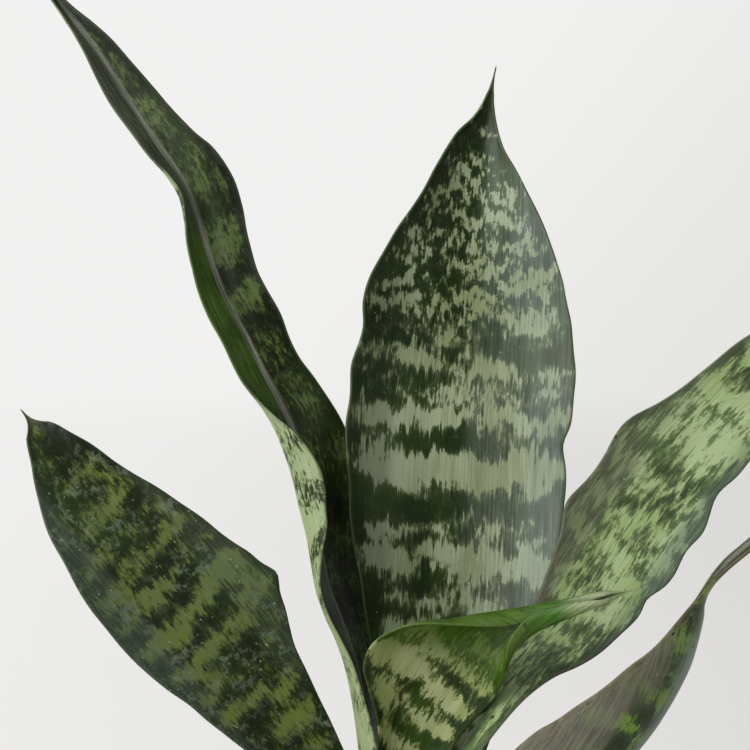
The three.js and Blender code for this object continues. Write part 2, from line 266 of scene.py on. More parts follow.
LOOKS = {
    "leaf_centre": dict(
        seed=3.0,
        bands=[
            (0, 0.5), (90, 0.5), (104, 0.75), (109, 0.8), (115, 0.05), (121, 0.5), (126, 0.0),
            (133, 0.85), (137, 0.75), (141, 0.1), (146, 0.65), (150, 0.05), (155, 0.1), (160, 0.35),
            (166, 1.0), (170, 0.85), (174, 0.0), (178, 0.1), (184, 0.95), (187, 0.6), (190, 0.2),
            (193, 0.5), (197, 0.1), (203, 0.75), (209, 0.1), (214, 0.2), (221, 0.7), (230, 0.5),
            (240, 0.5), (250, 0.4),
        ],
        pale=srgb(122, 132, 94),
        pale_2=srgb(152, 163, 134),
        dark=srgb(23, 38, 10),
        bias=0.002,
        cover=0.03,
        clumps=2.5,
        middle=0.55,
        wobble=14,
        teeth=24,
        fibres=0.8,
        drift=15,
        mottled=(196, 232),
        sparse=0.17,
        fade=(266, 294, 0.3),
        rim=8,
        washes=(
            # Painted shade: the outer left of the blade is darkened.
            (100, 270, -FAR, -24, srgb(28, 44, 16), 0.3),
            # Painted sheen: this stretch and the next two lay a pale grey-blue sheen over the right
            # half.
            (100, 300, 4, FAR, srgb(150, 164, 146), 0.16),
            (90, 200, 26, FAR, srgb(104, 122, 116), 0.3),
            (215, 300, 16, FAR, srgb(120, 138, 128), 0.22),
        ),
        bumps=((199, -1, 1.6, 9), (188, -1, -1.4, 7), (176, 1, -2.2, 6), (195, 1, 1.0, 12)),
    ),
    "leaf_low_left": dict(
        seed=11.0,
        dark=srgb(22, 33, 13),
        deep=srgb(34, 50, 18),
        pale=srgb(98, 112, 52),
        pale_2=srgb(92, 106, 66),
        haze=0.3,
        bands=[
            (0, 0.4), (70, 0.5), (77, 0.15), (83, 0.6), (89, 0.1), (96, 0.7), (102, 0.1), (109, 0.7),
            (115, 0.15), (121, 0.9), (128, 0.05), (135, 0.9), (141, 0.05), (147, 0.75), (152, 0.1),
            (158, 0.7), (163, 0.1), (169, 0.6), (175, 0.1), (181, 0.5), (187, 0.1), (194, 0.6),
            (201, 0.1), (207, 0.4), (213, 0.1), (220, 0.3), (228, 0.0),
        ],
        teeth=15,
        cover=-0.16,
        clumps=2.4,
        grain=2.1,
        middle=0.75,
        film=0.55,
        sharp=0.18,
        flecks=1.0,
        roughness=0.38,
        washes=(
            # Painted sheen: grey stretches along both margins.
            (50, 235, -FAR, -13, srgb(92, 106, 92), 0.4),
            (90, 235, 15, FAR, srgb(88, 98, 78), 0.3),
        ),
        margin=srgb(60, 72, 44),
        tip=srgb(74, 72, 52),
        bumps=(
            (125, 1, 2.6, 4), (186, -1, 0.8, 9), (205, 1, 1.4, 11), (205, -1, 1.2, 11),
            (216, 1, 1.6, 5), (216, -1, 1.4, 5),
        ),
    ),
    "leaf_tall_left": dict(
        seed=17.0,
        dark=srgb(12, 22, 4),
        deep=srgb(28, 44, 8),
        pale=srgb(70, 86, 38),
        pale_2=srgb(86, 102, 56),
        under_pale=srgb(176, 192, 146),
        bands=[
            (0, 0.5), (100, 0.3), (112, 0.55), (120, 0.1), (131, 0.5), (140, 0.1), (150, 0.5),
            (160, 0.1), (171, 0.5), (181, 0.1), (191, 0.5), (202, 0.1), (213, 0.6), (224, 0.1),
            (234, 0.6), (244, 0.1), (255, 0.65), (266, 0.1), (277, 0.6), (288, 0.1), (299, 0.6),
            (310, 0.1), (322, 0.55), (334, 0.1), (346, 0.4), (356, 0.1),
        ],
        clumps=1.4,
        grain=2.1,
        sharp=0.14,
        # Painted highlight along the midrib's crease.
        midrib=0.5,
        crease=1.3,
        washes=(
            # Painted glow: vivid green of light shining through the left half.
            (190, 266, -FAR, -1, srgb(88, 124, 46), 0.6),
            # Painted reflection: grey over the upper left half.
            (262, 350, -FAR, -1, srgb(112, 118, 102), 0.5),
            # Painted highlight: a pale grey line along the midrib's crease.
            (180, 350, -2.2, 1.2, srgb(164, 166, 152), 0.75),
            # Painted shade: near black inside the in-rolled lower left half.
            (50, 190, -FAR, -4, srgb(10, 18, 3), 0.5),
        ),
    ),
    "leaf_right": dict(
        seed=23.0,
        dark=srgb(48, 62, 40),
        deep=srgb(70, 90, 58),
        pale=srgb(134, 154, 96),
        pale_2=srgb(168, 184, 144),
        bands=[
            (0, 0.4), (90, 0.4), (100, 0.7), (107, 0.2), (115, 0.7), (121, 0.2), (128, 0.75),
            (134, 0.2), (141, 0.75), (147, 0.2), (153, 0.8), (160, 0.2), (168, 0.85), (175, 0.25),
            (183, 0.95), (190, 0.1), (198, 0.8), (206, 0.05), (214, 0.5), (222, 1.0), (230, 0.4),
            (238, 0.8), (247, 0.2), (256, 0.8), (266, 0.2), (276, 0.7), (286, 0.3), (300, 0.5),
        ],
        teeth=40,
        drift=20,
        clumps=1.7,
        grain=1.7,
        fibres=0.8,
        sharp=0.12,
        cover=-0.07,
        bias=0.003,
        haze=0.6,
        margin=srgb(92, 96, 78),
        washes=(
            # Painted sheen: greyish stretches over the left margin and the right side.
            (60, 200, -FAR, -12, srgb(102, 104, 84), 0.7),
            (200, 300, -FAR, -14, srgb(112, 120, 92), 0.4),
            (100, 300, 12, FAR, srgb(96, 114, 98), 0.5),
        ),
        bumps=(
            (172, -1, 2.4, 7), (186, -1, -1.2, 8), (206, -1, 2.4, 9), (158, 1, -2.2, 5),
            (170, 1, 1.2, 8), (206, 1, -2.4, 7), (190, 1, 1.2, 7),
        ),
    ),
    "leaf_low_right": dict(
        seed=31.0,
        dark=srgb(18, 32, 8),
        deep=srgb(34, 56, 14),
        pale=srgb(100, 132, 44),
        pale_2=srgb(112, 132, 70),
        under_pale=srgb(102, 138, 46),
        under_level=0.48,
        bands=[
            (0, 0.4), (60, 0.6), (68, 0.2), (77, 0.7), (86, 0.15), (95, 0.75), (104, 0.1), (113, 0.8),
            (122, 0.1), (131, 0.85), (140, 0.1), (149, 0.7), (157, 0.15), (168, 0.5), (180, 0.1),
            (194, 0.3), (210, 0.1), (225, 0.2),
        ],
        clumps=2.2,
        grain=1.8,
        under_washes=(
            # Grey-brown weathering of the lower face, with painted sheen in it, in this stretch and the
            # next two.
            (30, 104, 19, FAR, srgb(122, 119, 106), 0.95),
            (92, 130, 13, FAR, srgb(118, 115, 102), 0.95),
            (124, 172, 6, FAR, srgb(104, 104, 86), 0.9),
            # Painted highlight: blue-grey along the belly.
            (40, 150, -16, 2, srgb(116, 132, 120), 0.8),
            # Painted shade: dull dark olive over the tail.
            (172, 320, -FAR, FAR, srgb(78, 80, 50), 0.85),
        ),
        # Painted shade: dull dark olive over the tail, as on the lower face.
        washes=((172, 320, -FAR, FAR, srgb(78, 80, 50), 0.6),),
        scar=(60, 165, 2.2),
        bumps=((31, 1, -1.2, 9),),
        margin=srgb(104, 84, 52),
        margin_amount=0.35,
        specks=0.25,
        roughness=0.3,
    ),
    "leaf_young": dict(
        seed=41.0,
        dark=srgb(22, 42, 3),
        deep=srgb(44, 74, 8),
        pale=srgb(132, 144, 84),
        pale_2=srgb(168, 176, 130),
        under_pale=srgb(88, 120, 30),
        under_level=0.45,
        bias=-0.004,
        cover=-0.05,
        bands=[
            (0, 0.6), (60, 0.8), (66, 0.1), (73, 0.9), (79, 0.1), (86, 0.9), (92, 0.1), (99, 0.95),
            (105, 0.15), (111, 0.9), (117, 0.2), (124, 0.8), (130, 0.2), (140, 0.4), (152, 0.2),
            (175, 0.3),
        ],
        teeth=13,
        drift=12,
        tilt=0.25,
        clumps=2.0,
        wobble=8,
        grain=2.3,
        middle=0.6,
        sharp=0.12,
        washes=ROLL_GREEN_GLOW_AND_PALE_END,
        under_washes=ROLL_GREEN_GLOW_AND_PALE_END,
        margin=srgb(84, 100, 46),
        margin_amount=0.25,
        tip=srgb(120, 134, 92),
        specks=0.02,
    ),
}

# Colours that all the leaves share, and how far the ends of a wash and of the scar are softened.
FILM_GREY = srgb(112, 124, 104)
SCAR_BROWN = srgb(134, 108, 84)
PIT_BLACK = srgb(14, 12, 8)
FOOT_CREAM = srgb(168, 164, 112)
CREASE_HIGHLIGHT_GREY = srgb(140, 146, 128)
SCALE_WHITE = srgb(168, 176, 152)
SPECK_BROWN = srgb(52, 40, 26)
WASH_SOFT = 8
SCAR_SOFT = 5


def leaf_surface(name, look, length, under=False):
    """The mottled skin of one side of a leaf that is length millimetres long."""
    g = Surface(name)
    blade = g.node("Attribute", attribute_name="blade").outputs["Vector"]
    across, along, edge = g.split(blade)

    def field(across_scale, along_scale, detail=2.0, roughness=0.5, offset=0.0):
        """Noise with its own scale in each direction, per millimetre."""
        place = g.join(
            g.times(across, across_scale),
            g.times(along, along_scale),
            look.seed + offset,
        )
        return g.noise(place, detail=detail, roughness=roughness)

    def flakes(across_scale, along_scale, shear, amount, size, offset):
        """Small marks, one in each of some cells that are picked at random."""
        place = g.join(
            g.times(g.add(across, g.times(along, shear)), across_scale),
            g.times(along, along_scale),
            look.seed + offset,
        )
        near, tints = g.spots(place, 1.0)
        picked = g.math("GREATER_THAN", g.split(tints)[0], 1 - amount)
        return g.times(g.step(near, size * 0.6, size, 1.0, 0.0), picked)

    def within(value, low, high, soft):
        """1 from low to high and 0 beyond, with both ends softened."""
        rise = g.step(value, low - soft, low + soft)
        return g.times(rise, g.step(value, high - soft, high + soft, 1.0, 0.0))

    # Bands lie across the blade, drift up and down, and have edges torn along its length. Further
    # up they break into rows of blotches.
    teeth = g.centred(field(0.42, 0.035, 4.5, 0.68), look.teeth)
    drift = g.centred(field(0.03, 0.012, 1.0, offset=7.0), look.drift)
    wobble = g.centred(field(0.13, 0.05, 2.0, offset=17.0), look.wobble)
    shifted = g.add(along, teeth, drift, wobble, g.times(across, look.tilt))
    stops = [(min(place / length, 1.0), paleness) for place, paleness in look.bands]
    profile = g.ramp(g.math("DIVIDE", shifted, length), stops)
    rows = g.math("SINE", g.times(shifted, 2 * math.pi / look.rows))
    broken = g.step(along, *look.mottled)
    banded = g.add(
        g.times(g.centred(profile, 1.0), g.math("SUBTRACT", 1.0, broken)),
        g.times(rows, broken, 0.3),
    )
    blotches = g.times(g.centred(field(0.3, 0.22, 3.0, 0.6, offset=61.0), look.blotch), broken)
    clumps = g.centred(field(0.06, 0.07, 2.0, 0.55, offset=13.0), look.clumps)
    grain = g.centred(field(0.8, 0.3, 4.5, 0.72, offset=21.0), look.grain)
    streaks = field(1.3, 0.045, 3.0, 0.6, offset=37.0)
    lean = g.times(across, look.bias)
    total = g.add(banded, clumps, blotches, grain, g.centred(streaks, look.fibres), lean)
    total = g.add(total, g.times(broken, -look.sparse), look.cover + 0.5)
    start, end, amount = look.fade
    total = g.add(total, g.step(along, start, end, 0.0, -amount))
    if not under:
        total = g.add(total, g.step(edge, 0.3, look.rim, -0.5, 0.0))
    level = look.under_level if under else UPPER_LEVEL
    pale = g.step(total, level - look.sharp, level + look.sharp)
    middle = g.step(total, level - 0.3, level - 0.08, 0.0, look.middle)

    # Tones inside the pale and the dark areas.
    broad = field(0.05, 0.02, 2.0, offset=31.0)
    tone = g.add(g.times(broad, 0.6), g.times(streaks, 0.4))
    light = g.mix(g.step(tone, 0.4, 0.6), look.pale, look.pale_2)
    dark = g.mix(g.step(broad, 0.46, 0.7), look.dark, look.deep)
    if under:
        light = g.mix(0.62, light, look.under_pale)
        light = g.mix(g.step(streaks, 0.36, 0.64, 0.16, 0.0), light, look.deep)
        dark = g.mix(0.35, dark, look.deep)
    between = g.mix(0.5, look.deep, look.pale)
    skin = g.mix(middle, dark, between)
    skin = g.mix(pale, skin, light)
    skin = g.mix(g.step(total, level - 0.7, level, 0.0, look.haze * 0.5), skin, look.pale)

    # Tinted stretches (painted sheen, shade and glow on some leaves, weathering and own colour on
    # others), then the pale foot, the thin margin line and the horny tip.
    for start, end, low, high, colour, amount in look.under_washes if under else look.washes:
        soft = min(3.0, (high - low) / 3)
        inside = g.times(within(along, start, end, WASH_SOFT), within(across, low, high, soft))
        tint_and_painted_light_mask = g.times(inside, g.step(tone, 0.3, 0.7, 0.7 * amount, min(1.3 * amount, 1.0)))
        shade = g.mix(g.step(streaks, 0.38, 0.62), [c * 0.6 for c in colour[:3]] + [1.0], colour)
        skin = g.mix(tint_and_painted_light_mask, skin, shade)
    smear = g.step(field(0.24, 0.2, 5.0, 0.75, offset=67.0), 0.5, 0.62)
    smear = g.times(smear, g.step(field(0.05, 0.05, 1.0, offset=71.0), 0.4, 0.6, 0.25, 1.0))
    skin = g.mix(g.times(smear, look.film), skin, FILM_GREY)
    if under and look.scar[1]:
        start, end, inset = look.scar
        place = g.add(edge, g.centred(field(0.0, 0.05), 3.0))
        near = g.math("ABSOLUTE", g.math("SUBTRACT", place, inset))
        on = g.times(within(along, start, end, SCAR_SOFT), g.step(across, 2, 4))
        torn = g.times(on, g.step(near, 0.15, 0.5, 1.0, 0.0), g.step(field(0.2, 0.35, 3.0), 0.42, 0.56))
        skin = g.mix(g.times(torn, 0.7), skin, SCAR_BROWN)
        pits = g.times(on, g.step(near, 0.8, 1.6, 1.0, 0.0), flakes(0.5, 0.3, 0.0, 0.3, 0.3, 9.0))
        skin = g.mix(pits, skin, PIT_BLACK)
    foot = g.step(g.add(along, g.centred(streaks, 14)), 14, 36, 0.85, 0.0)
    skin = g.mix(foot, skin, FOOT_CREAM)
    line = g.step(g.add(edge, g.centred(streaks, 0.25)), 0.05, 0.3, look.margin_amount, 0.0)
    skin = g.mix(line, skin, look.margin)
    # Painted highlight: a pale grey line along the midrib's crease.
    if look.midrib:
        rib = g.step(g.math("ABSOLUTE", across), 0.1, 0.9, look.midrib, 0.0)
        skin = g.mix(rib, skin, CREASE_HIGHLIGHT_GREY)
    skin = g.mix(g.step(along, length - 8, length - 5), skin, look.tip)

    # Limescale spots, short scratches, and the odd dead speck.
    patch = g.step(field(0.07, 0.05, 2.0, offset=47.0), 0.46, 0.62)
    spots = flakes(0.45, 0.45, 0.0, look.flecks * 0.45, 0.16, 3.0)
    scratches = flakes(0.5, 0.07, 0.35, look.flecks * 0.16, 0.1, 5.0)
    scuff = g.times(g.math("MAXIMUM", spots, scratches), g.step(patch, 0.0, 1.0, 0.15, 0.75))
    skin = g.mix(scuff, skin, SCALE_WHITE)
    specks = flakes(0.16, 0.16, 0.0, look.specks, 0.13, 7.0)
    skin = g.mix(specks, skin, SPECK_BROWN)

    veins = field(1.1, 0.012, 2.0, 0.5, offset=53.0)
    pores = field(3.2, 2.4, 2.0, 0.6, offset=59.0)
    height = g.add(
        g.times(veins, 0.75),
        g.times(pores, 0.18),
        g.times(scuff, 0.3),
        g.times(pale, 0.05),
    )
    dull = look.roughness + (0.14 if under else 0.0)
    roughness = g.add(g.centred(broad, 0.2), g.centred(streaks, 0.1), g.times(scuff, 0.2), dull)
    return g.finish(
        Base_Color=skin,
        Roughness=roughness,
        Specular_IOR_Level=0.22,
        Coat_Weight=0.03,
        Coat_Roughness=0.24,
        Normal=g.bump(height, 0.22 * MM, 0.55),
    )


# ---- blades ----
SCALE_LEAVES = ("scale_leaf_back", "scale_leaf_left", "scale_leaf_front")
RING = 18  # points round a CAD blade's section: nine on the upper face, nine on the lower
FACE = RING // 2
PLACES = (0, 0.28, 0.56, 0.82, 1)  # where they are, from midrib to margin
WAVES_START, CREASE_START = 45, 150  # distances from the foot
FADE_IN, FADE_OUT = 60, 40  # the lengths over which both come in, and go out at the tip
FULL_WIDTH = 25  # the half width at which the margins' waves have their full size
SWAY_PITCH, SWAY_HEIGHT = 34, 1.5  # the margins up and down
NICK_PITCH, NICK_DEPTH = 13, 0.55  # the margins in and out
FLUTE_WIDTH, FLUTE_LENGTH, FLUTE_HEIGHT = 7, 90, 0.32
DENT_WIDTH, DENT_LENGTH, DENT_HEIGHT = 11, 13, 0.14
CREASE_WIDTH = 2.2
MARGIN_REACH = 0.45  # the most that a margin's edge stands out past its faces
TIP_REACH = 1.2


def welded(node):
    """A CAD node's points, each once, and its triangles."""
    mesh = node.data
    mesh.calc_loop_triangles()
    found = {}
    ids = []
    for vertex in mesh.vertices:
        key = tuple(round(c, 6) for c in vertex.co)
        ids.append(found.setdefault(key, len(found)))
    points = np.zeros((len(found), 3))
    for vertex, i in zip(mesh.vertices, ids):
        points[i] = vertex.co
    triangles = [tuple(ids[v] for v in triangle.vertices) for triangle in mesh.loop_triangles]
    return points, triangles


def ring_levels(points, triangles):
    """Which ring each point is on, counted along the mesh's edges from the foot."""
    neighbours = [set() for _ in points]
    for a, b, c in triangles:
        neighbours[a] |= {b, c}
        neighbours[b] |= {a, c}
        neighbours[c] |= {a, b}
    level = np.full(len(points), -1)
    current = set(np.flatnonzero(points[:, 2] < points[:, 2].min() + 1e-5))
    count = 0
    while current:
        level[list(current)] = count
        current = {n for i in current for n in neighbours[i] if level[n] < 0}
        count += 1
    return level, count, neighbours


def blade_rings(node):
    """A CAD blade's sections from foot to tip, as (rings, RING, 3), upper face left to right first."""
    points, triangles = welded(node)
    level, count, neighbours = ring_levels(points, triangles)
    follow = {}
    for triangle in triangles:
        for i in range(3):
            a, b, c = triangle[i], triangle[(i + 1) % 3], triangle[(i + 2) % 3]
            if level[a] == level[b] and level[c] > level[a]:
                follow[a] = b
            if level[a] == level[b] == count - 1 and level[c] < level[a]:
                follow[b] = a
    loops = []
    for k in range(count):
        walk = [int(np.flatnonzero(level == k)[0])]
        while len(walk) < RING:
            walk.append(follow[walk[-1]])
        if loops:
            walk = aligned(walk, loops[-1], points, neighbours)
        loops.append(walk)
    rings = points[np.array(loops)]
    widest = rings[np.argmax([np.ptp(ring, axis=0).max() for ring in rings])]
    steps = np.linalg.norm(np.roll(widest, -1, axis=0) - widest, axis=1)
    start = min(range(RING), key=lambda s: steps[(s + FACE - 1) % RING] + steps[(s - 1) % RING])
    rings = np.roll(rings, -start, axis=1)
    middle = FACE // 2
    foot = rings[0]
    hollow = (foot[0] + foot[FACE - 1]) / 2 - foot[middle]
    if hollow @ (foot[middle] - foot[RING - 1 - middle]) < 0:
        rings = np.roll(rings, -FACE, axis=1)
    return rings


def aligned(walk, previous, points, neighbours):
    """The walk round a ring, started at the point that carries on from the previous ring's start."""
    shape = points[previous] - points[previous].mean(axis=0)

    def cost(shift):
        turned = walk[shift:] + walk[:shift]
        joined = sum(b in neighbours[a] for a, b in zip(previous, turned))
        other = points[turned] - points[turned].mean(axis=0)
        return (joined < RING - 2, ((other - shape) ** 2).sum())

    shift = min(range(RING), key=cost)
    return walk[shift:] + walk[:shift]


def spline(points, count):
    """A Catmull-Rom curve through the points along the first axis, at count even places."""
    ends = [2 * points[0] - points[1]], [2 * points[-1] - points[-2]]
    padded = np.concatenate([ends[0], points, ends[1]])
    t = np.linspace(0, len(points) - 1, count)
    i = np.minimum(t.astype(int), len(points) - 2)
    f = (t - i).reshape(-1, *[1] * (points.ndim - 1))
    p0, p1, p2, p3 = (padded[i + j] for j in range(4))
    bend = 2 * p0 - 5 * p1 + 4 * p2 - p3
    return 0.5 * (2 * p1 + (p2 - p0) * f + bend * f**2 + (3 * p1 - p0 - 3 * p2 + p3) * f**3)


def unit(vectors):
    return vectors / (np.linalg.norm(vectors, axis=-1, keepdims=True) + 1e-12)


def wave(distance, pitch, seed):
    """An even, unhurried wander between about -1 and 1 along a line."""
    return np.array([1.6 * noise.noise(Vector((d / pitch, seed, 0.5))) for d in distance])


class Blade:
    """A fine blade through a CAD blade's rings, in millimetres, rows by columns."""

    def __init__(self, node, look, row_pitch=1.8, columns=49):
        rings = blade_rings(node) / MM
        upper, lower = rings[:, :FACE], rings[:, FACE:][:, ::-1]
        middle = (upper + lower)[:, FACE // 2] / 2
        length = np.linalg.norm(np.diff(middle, axis=0), axis=1).sum()
        rows = max(int(length / row_pitch), 12)
        fine = [spline(np.swapaxes(spline(side, rows), 0, 1), columns) for side in (upper, lower)]
        upper, lower = (np.swapaxes(side, 0, 1) for side in fine)
        self.core = (upper + lower) / 2
        self.half = np.linalg.norm(upper - lower, axis=2) / 2
        self.place = spline(np.array([-p for p in PLACES[:0:-1]] + list(PLACES)), columns)
        self.measure()
        self.undulate(look.ripple, look.seed)
        self.shape_margins(look.bumps, look.crease)
        self.sharpen()
        self.measure()

    def measure(self):
        """Distances along and across the blade, and its facing, from the core surface."""
        centre = self.core[:, self.core.shape[1] // 2]
        steps = np.linalg.norm(np.diff(centre, axis=0), axis=1)
        self.along = np.concatenate([[0], np.cumsum(steps)])
        gaps = np.linalg.norm(np.diff(self.core, axis=1), axis=2)
        total = np.concatenate([np.zeros((len(centre), 1)), np.cumsum(gaps, axis=1)], axis=1)
        self.across = total - total[:, total.shape[1] // 2, None]
        self.edge = np.minimum(total, total[:, -1, None] - total)
        lengthwise = np.gradient(self.core, axis=0)
        crosswise = np.gradient(self.core, axis=1)
        self.facing = unit(np.cross(crosswise, lengthwise))
        self.outward = unit(crosswise) * np.sign(self.place)[None, :, None]

    def free(self, start):
        """0 from the foot to start, 1 further up and 0 again at the tip."""
        rise = np.clip((self.along - start) / FADE_IN, 0, 1)
        return rise * np.clip((self.along[-1] - self.along) / FADE_OUT, 0, 1)

    def shift(self, lift, reach):
        """Moves the core along its facing by lift and outward by reach."""
        self.core = self.core + self.facing * lift[..., None] + self.outward * reach[..., None]

    def undulate(self, ripple, seed):
        """Wavy margins, long shallow flutes and slight dents, faded out at the foot and the tip."""
        free = self.free(WAVES_START)
        width = np.clip(self.edge.max(axis=1) / FULL_WIDTH, 0, 1)
        lift = np.zeros(self.edge.shape)
        reach = np.zeros(self.edge.shape)
        for side in (-1, 1):
            on = np.clip(self.place * side, 0, 1)
            sway = wave(self.along, SWAY_PITCH, seed + side) * free * width
            nick = wave(self.along, NICK_PITCH, seed + 5 * side) * free * width
            lift += np.outer(sway, on**3) * SWAY_HEIGHT * ripple
            reach += np.outer(nick, on**4) * NICK_DEPTH * ripple
        for i, along in enumerate(self.along):
            for j, across in enumerate(self.across[i]):
                flute = noise.noise(Vector((across / FLUTE_WIDTH, along / FLUTE_LENGTH, seed)))
                dent = noise.noise(Vector((across / DENT_WIDTH, along / DENT_LENGTH, seed + 9)))
                lift[i, j] += (flute * FLUTE_HEIGHT + dent * DENT_HEIGHT) * free[i] * ripple
        self.shift(lift, reach)

    def shape_margins(self, bumps, crease):
        """Swellings and notches of the margins, and a sharp crease along the midrib."""
        reach = np.zeros(self.edge.shape)
        for place, side, out, spread in bumps:
            on = np.clip(self.place * side, 0, 1)
            reach += np.outer(np.exp(-(((self.along - place) / spread) ** 2)), on**3) * out
        lift = -crease * np.exp(-np.abs(self.across) / CREASE_WIDTH) * self.free(CREASE_START)[:, None]
        self.shift(lift, reach)

    def sharpen(self, reach=9, least=0.3):
        """Draws the last few millimetres in to a fine point."""
        left = np.clip((self.along[-1] - self.along) / reach, least, 1)[:, None]
        centre = self.core[:, self.core.shape[1] // 2, None]
        self.core = centre + (self.core - centre) * left[..., None]
        self.half = self.half * left

    def mesh(self, name):
        """The closed mesh, with the attribute blade. Slot 0 is the upper face and slot 1 the lower."""
        rows, columns = self.edge.shape
        half = self.half[..., None] * self.facing
        reach = np.minimum(self.half, MARGIN_REACH)[..., None] * self.outward
        margins = [self.core[:, j] + reach[:, j] for j in (0, -1)]
        tip = self.core[-1].mean(axis=0) + unit(self.core[-1] - self.core[-2]).mean(axis=0) * TIP_REACH
        foot = self.core[0].mean(axis=0)
        over, under = ((self.core + side * half).reshape(-1, 3) for side in (1, -1))
        points = np.concatenate([over, under, *margins, [tip, foot]])
        along = np.repeat(self.along[:, None], columns, axis=1)
        grid = np.stack([self.across, along, self.edge], axis=-1).reshape(-1, 3)
        sides = [np.stack([self.across[:, j], self.along, 0 * self.along], axis=-1) for j in (0, -1)]
        ends = [[0, self.along[-1] + 1, 0], [0, 0, 0]]
        coordinates = np.concatenate([grid, grid, *sides, ends])

        # Each ring goes from the left margin over the upper face and back under the lower one.
        area = rows * columns
        left, right = 2 * area, 2 * area + rows
        tip_id, foot_id = right + rows, right + rows + 1
        rings = []
        for k in range(rows):
            over = list(range(k * columns, (k + 1) * columns))
            under = [area + i for i in reversed(over)]
            rings.append([left + k, *over, right + k, *under, left + k])
        faces = [
            (low[i], low[i + 1], high[i + 1], high[i])
            for low, high in zip(rings, rings[1:])
            for i in range(2 * columns + 2)
        ]
        faces += [(a, b, tip_id) for a, b in zip(rings[-1], rings[-1][1:])]
        faces += [(b, a, foot_id) for a, b in zip(rings[0], rings[0][1:])]
        slots = ([0] * (columns + 1) + [1] * (columns + 1)) * (rows + 1)

        made = bpy.data.meshes.new(name)
        made.from_pydata((points * MM).tolist(), [], faces)
        made.polygons.foreach_set("material_index", slots)
        made.polygons.foreach_set("use_smooth", [True] * len(faces))
        attribute = made.attributes.new("blade", "FLOAT_VECTOR", "POINT")
        attribute.data.foreach_set("vector", coordinates.ravel())
        made.update()
        return made


def add_piece(name, mesh, node, slot, *materials):
    """Puts a mesh in the scene in place of a CAD node."""
    made = linked(name, mesh)
    for material in materials:
        mesh.materials.append(material)
    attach(made, "root")
    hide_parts(node)
    return made


def make_leaves():
    leaves = []
    for name, changes in LOOKS.items():
        look = SimpleNamespace(**{**BASE_LOOK, **changes})
        blade = Blade(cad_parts[name], look)
        length = float(blade.along[-1])
        piece = name + "_blade"
        upper = leaf_surface(name + "_upper", look, length)
        lower = leaf_surface(name + "_under", look, length, under=True)
        leaves.append(add_piece(piece, blade.mesh(piece), name, "leaf", upper, lower))
    return leaves


# ---- scale leaves and rhizome ----
def scale_surface(length):
    """A dry, papery, fibrous sheath."""
    g = Surface("scale_leaf_skin")
    blade = g.node("Attribute", attribute_name="blade").outputs["Vector"]
    across, along, edge = g.split(blade)
    threads = g.join(g.times(across, 1.4), g.times(along, 0.06), 2.0)
    fibres = g.noise(threads, detail=4.0, roughness=0.65)
    patches = g.noise(g.join(g.times(across, 0.12), g.times(along, 0.09), 8.0), detail=2.0)
    skin = g.mix(g.step(fibres, 0.32, 0.68), srgb(108, 92, 52), srgb(168, 150, 98))
    green = g.times(g.step(patches, 0.42, 0.62), g.step(along, length * 0.35, length * 0.85, 1.0, 0.0))
    skin = g.mix(g.times(green, 0.7), skin, srgb(98, 112, 56))
    dry = g.step(g.add(edge, g.centred(patches, 3.0)), 0.2, 2.4, 1.0, 0.0)
    skin = g.mix(dry, skin, srgb(96, 68, 40))
    skin = g.mix(g.step(along, length * 0.7, length), skin, srgb(104, 76, 46))
    height = g.add(fibres, g.times(patches, 0.3))
    return g.finish(
        Base_Color=skin,
        Roughness=g.math("MULTIPLY_ADD", fibres, 0.3, 0.5),
        Normal=g.bump(height, 0.3 * MM, 0.8),
    )


def make_scale_leaves():
    leaves = []
    for i, name in enumerate(SCALE_LEAVES):
        look = SimpleNamespace(**{**BASE_LOOK, "seed": 60.0 + i, "ripple": 0.5})
        blade = Blade(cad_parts[name], look, row_pitch=1.0, columns=33)
        skin = scale_surface(float(blade.along[-1]))
        piece = name + "_sheath"
        leaves.append(add_piece(piece, blade.mesh(piece), name, "scale_leaf", skin, skin))
    return leaves


def rhizome_surface():
    """Fleshy orange-tan skin with darker leaf scars round it and a little soil on it."""
    g = Surface("rhizome_skin")
    place = g.coordinates()
    wobble = g.noise(place, scale=60, detail=2.0)
    scars = g.math("SINE", g.add(g.times(g.split(place)[2], 1100), g.times(wobble, 7)))
    dirt = g.step(g.noise(place, scale=260, detail=3.0, roughness=0.6), 0.5, 0.66)
    skin = g.mix(g.step(wobble, 0.35, 0.65), srgb(206, 146, 84), srgb(182, 116, 60))
    skin = g.mix(g.step(scars, 0.7, 0.98, 0.0, 0.6), skin, srgb(120, 76, 42))
    skin = g.mix(g.times(dirt, 0.6), skin, srgb(58, 42, 30))
    return g.finish(
        Base_Color=skin,
        Roughness=g.math("MULTIPLY_ADD", dirt, 0.3, 0.55),
        Normal=g.bump(g.add(g.times(scars, 0.5), dirt), 0.4 * MM, 0.8),
    )


# ---- turned pieces ----
def rounded(corners, steps=6):
    """A profile of (radius, height, rounding) corners with an arc at each that has a rounding."""
    out = []
    for i, (r, z, rounding) in enumerate(corners):
        here = np.array([r, z], float)
        if not rounding or i in (0, len(corners) - 1):
            out.append(here)
            continue
        before = unit(np.array(corners[i - 1][:2], float) - here)
        after = unit(np.array(corners[i + 1][:2], float) - here)
        for t in np.linspace(0, 1, steps):
            start, end = here + before * rounding, here + after * rounding
            out.append((1 - t) ** 2 * start + 2 * t * (1 - t) * here + t**2 * end)
    return out


def divided(profile, pitch):
    """The profile with its long straight stretches cut into steps no longer than pitch."""
    out = [profile[0]]
    for a, b in zip(profile, profile[1:]):
        count = max(1, math.ceil(np.linalg.norm(b - a) / pitch))
        out += [a + (b - a) * (i + 1) / count for i in range(count)]
    return out


